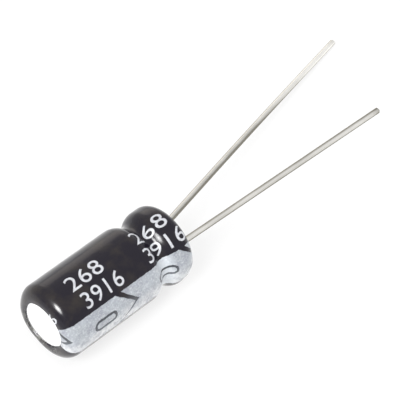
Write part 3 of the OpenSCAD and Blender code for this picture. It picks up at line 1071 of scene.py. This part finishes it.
def pale_floor():
    """A white sheet that keeps a faint shadow."""
    material, tree, shader = new_material("pale_floor", specular_ior_level=0.0, roughness=0.9)
    fibres = noise(tree, own_place(tree), 0.6 * MM, 3)
    link(tree, blend(tree, fibres, (0.86, 0.86, 0.86), (0.88, 0.88, 0.88)), shader, "Base Color")
    # The lit sweep is brighter than white, which shows only where the part mirrors it
    gloss = add_node(tree, "LightPath").outputs["Is Glossy Ray"]
    strength = spread(tree, gloss, 0, 1, 1, 1.5)
    glow = add_node(tree, "Emission", {"Color": (1, 1, 1, 1), "Strength": strength}).outputs[0]
    share = spread(tree, shown_rays(tree), 0, 1, 0, 0.78)
    mixed = add_node(tree, "MixShader", {0: share, 1: shader.outputs[0], 2: glow}).outputs[0]
    tree.links.new(mixed, tree.nodes["Material Output"].inputs["Surface"])
    return material


def set_world(level):
    """A white room at full level for the rays that see it, and at its own level as light."""
    world = bpy.data.worlds.new("soft_room")
    bpy.context.scene.world = world
    world.use_nodes = True
    tree = world.node_tree
    background = tree.nodes["Background"]
    strength = spread(tree, shown_rays(tree), 0, 1, level, 1.0)
    tree.links.new(strength, background.inputs["Strength"])
    background.inputs["Color"].default_value = (1, 1, 1, 1)


def aim(place, target):
    """Rotation of a lamp or camera that looks from a place at the target."""
    return (Vector(place) - Vector(target)).to_track_quat("Z", "Y").to_euler()


def soft_box(name, way, size, energy, target, colour=(1, 1, 1)):
    """A round soft light in a direction from the target, seen in gloss and not by the camera."""
    place = target + Vector(way).normalized() * LIGHT_DISTANCE
    bpy.ops.object.light_add(type="AREA", location=place, rotation=aim(place, target))
    lamp = bpy.context.object
    lamp.name = name
    lamp.data.shape = "DISK"
    lamp.data.size = size
    lamp.data.energy = energy
    lamp.data.color = colour
    lamp.visible_camera = False
    return lamp


class CAPACITOR_OT_stage(bpy.types.Operator):
    """Sets the floor, the soft lights and the camera"""
    bl_idname = "object.capacitor_stage"
    bl_label = "Set Stage"

    def execute(self, context):
        s = context.scene.capacitor_stage
        clear_selection()
        bpy.ops.mesh.primitive_plane_add(size=FLOOR_SIZE, location=(0, 0, 0))
        floor = context.object
        floor.name = "floor"
        floor.data.materials.append(pale_floor())
        set_world(s.soft_level)
        target = Vector(s.target)
        key_way, box_size, sheen_size = (-0.679, -0.186, 0.710), 0.16, 0.12
        soft_box("key_light", key_way, box_size, s.key_energy, target)
        sheen = soft_box("key_sheen", key_way, sheen_size, s.sheen_energy, target)
        sheen.visible_diffuse = False
        fill = soft_box("fill_light", (0.85, -0.1, 0.5), box_size, s.fill_energy, target)
        fill.visible_glossy = False
        soft_box("back_light", (0.477, 0.829, 0.289), box_size, s.back_energy, target,
                 (1, 0.9, 0.8))

        back = Vector((math.sin(s.azimuth) * math.cos(s.elevation),
                       -math.cos(s.azimuth) * math.cos(s.elevation), math.sin(s.elevation)))
        place = target + back * s.distance
        bpy.ops.object.camera_add(location=place, rotation=aim(place, target))
        camera = context.object
        camera.name = "camera"
        camera.data.lens = s.lens
        camera.data.clip_start = 0.01
        camera.data.clip_end = 10
        context.scene.camera = camera
        context.scene.view_settings.view_transform = "Standard"
        return {"FINISHED"}


class CAPACITOR_PT_panel(bpy.types.Panel):
    """Lists the steps that dress the capacitor, and their settings"""
    bl_idname = "CAPACITOR_PT_panel"
    bl_label = "Electrolytic Capacitor"
    bl_space_type = "VIEW_3D"
    bl_region_type = "UI"
    bl_category = "Capacitor"

    def draw(self, context):
        for operator in OPERATORS:
            self.layout.operator(operator.bl_idname)
        for name, group in SETTINGS.items():
            column = self.layout.column(heading=name)
            for field in group.__annotations__:
                column.prop(getattr(context.scene, name), field)


OPERATORS = (CAPACITOR_OT_stage, CAPACITOR_OT_sleeve, CAPACITOR_OT_stripe, CAPACITOR_OT_numbers,
             CAPACITOR_OT_leads, CAPACITOR_OT_solids)
CLASSES = (*SETTINGS.values(), *OPERATORS, CAPACITOR_PT_panel)


def register():
    for made in CLASSES:
        bpy.utils.register_class(made)
    for name, group in SETTINGS.items():
        setattr(bpy.types.Scene, name, PointerProperty(type=group))


def unregister():
    for name in SETTINGS:
        delattr(bpy.types.Scene, name)
    for made in reversed(CLASSES):
        bpy.utils.unregister_class(made)


def main():
    register()
    bpy.ops.object.capacitor_stage()
    bpy.ops.object.capacitor_sleeve()
    bpy.ops.object.capacitor_stripe()
    bpy.ops.object.capacitor_numbers()
    bpy.ops.object.capacitor_leads()
    bpy.ops.object.capacitor_solids()


if __name__ == "__main__":
    main()
